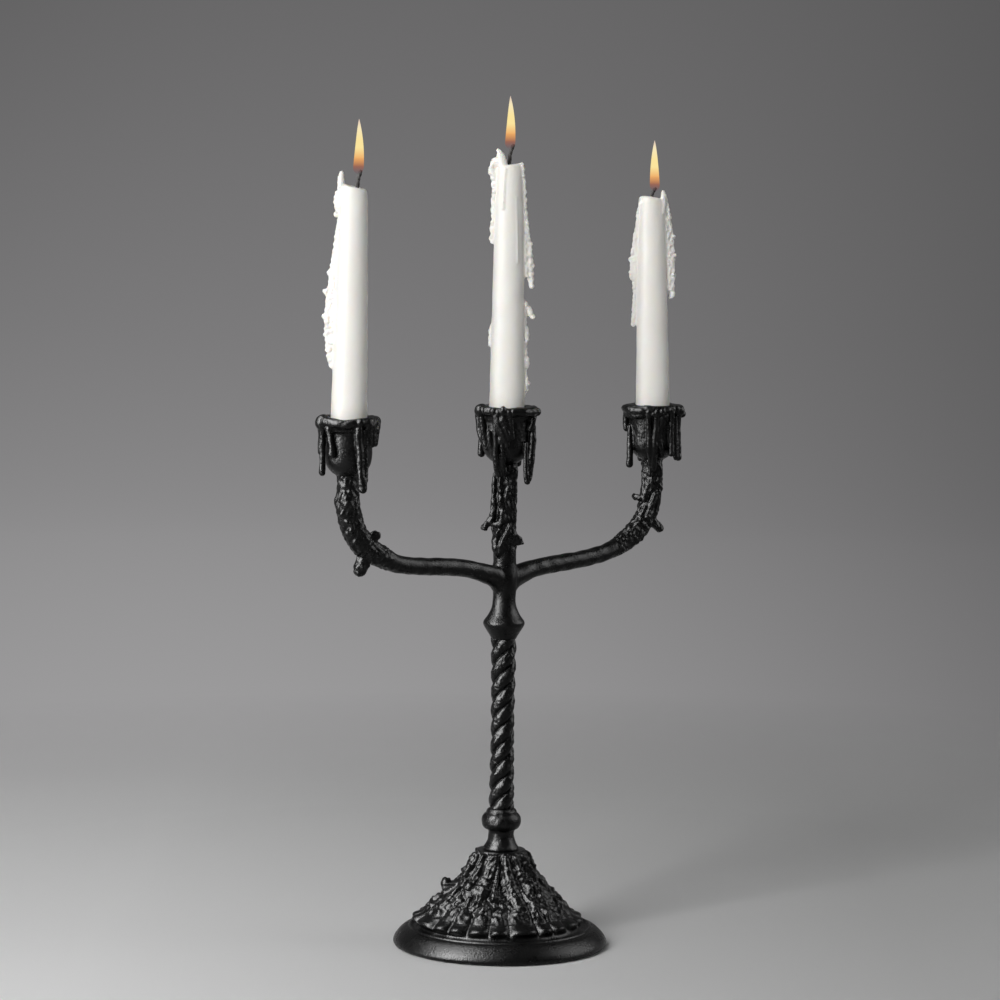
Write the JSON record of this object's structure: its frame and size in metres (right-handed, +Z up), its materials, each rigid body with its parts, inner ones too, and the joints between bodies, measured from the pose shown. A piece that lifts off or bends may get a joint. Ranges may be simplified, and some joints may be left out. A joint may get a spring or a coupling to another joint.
{
  "type": "candelabra",
  "caption": "Branched table candelabra with wax-dripped cups, curved arms, twisted stem, fluted round foot and lit taper candles.",
  "frame": {"origin": "centre of the foot's underside, on the surface that it stands on", "axes": "+Z up along the stem, +X towards the right arm, +Y towards the side with no arm"},
  "size_m": [0.2813, 0.13, 0.5142],
  "materials": {
    "black_casting": "black satin lacquer over a fine-grained casting",
    "felt": "pressed felt",
    "steel_fixing": "zinc-plated steel",
    "wax": "warm white candle wax, slightly translucent",
    "burnt_wick": "charred cotton",
    "flame": "glowing, translucent"
  },
  "bodies": {
    "stand": {"foot": "black_casting", "felt_pad": "felt", "lower_collar": "black_casting", "twisted_stem": "black_casting", "branch_hub": "black_casting", "arm_left": "black_casting", "arm_right": "black_casting", "centre_post": "black_casting", "tie_rod": "steel_fixing", "tie_nut": "steel_fixing", "lock_washer": "steel_fixing", "flat_washer": "steel_fixing", "cup_left": "black_casting", "cup_middle": "black_casting", "cup_right": "black_casting", "cup_screws": "steel_fixing", "cup_washers": "steel_fixing"},
    "left_candle": {"candle_left": "wax", "wick_left": "burnt_wick", "flame_left": "flame"},
    "middle_candle": {"candle_middle": "wax", "wick_middle": "burnt_wick", "flame_middle": "flame"},
    "right_candle": {"candle_right": "wax", "wick_right": "burnt_wick", "flame_right": "flame"}
  },
  "joints": [
    {"name": "candle_left_lift", "type": "slide", "parent": "stand", "child": "left_candle", "axis": [0.0079, -0.0069, 0.9999], "range_m": [0, 0.03]},
    {"name": "candle_middle_lift", "type": "slide", "parent": "stand", "child": "middle_candle", "axis": [0, 0, 1], "range_m": [0, 0.03]},
    {"name": "candle_right_lift", "type": "slide", "parent": "stand", "child": "right_candle", "axis": [-0.0158, 0.0137, 0.9998], "range_m": [0, 0.03]}
  ]
}
